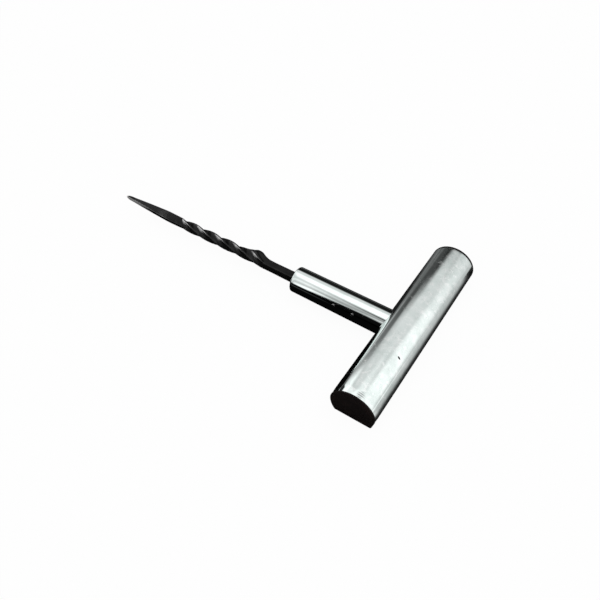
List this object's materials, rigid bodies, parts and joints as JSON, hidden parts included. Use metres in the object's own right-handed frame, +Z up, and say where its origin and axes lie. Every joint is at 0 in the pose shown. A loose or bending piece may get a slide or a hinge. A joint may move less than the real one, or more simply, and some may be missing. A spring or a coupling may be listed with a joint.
{
  "type": "tire repair reamer",
  "caption": "T-handled hand reamer with a chromed D-section cross bar, a round stem and a dark twisted square blade with a tapered point, for cleaning a puncture before plugging.",
  "frame": {"origin": "middle of the flat underside of the cross bar", "axes": "+Z up out of the flat, Y along the cross bar, the blade points along -X"},
  "size_m": [0.1678, 0.092, 0.0162],
  "materials": {
    "plated_steel": "bright nickel-chrome plate",
    "plug_plastic": "black, lightly satin",
    "dark_steel": "dark forged steel, oiled black oxide"
  },
  "bodies": {
    "root": {"handle_tube": "plated_steel", "near_end_plug": "plug_plastic", "far_end_plug": "plug_plastic", "stem": "plated_steel", "reamer_blade": "dark_steel", "inner_pin": "plated_steel", "outer_pin": "plated_steel"}
  },
  "joints": []
}
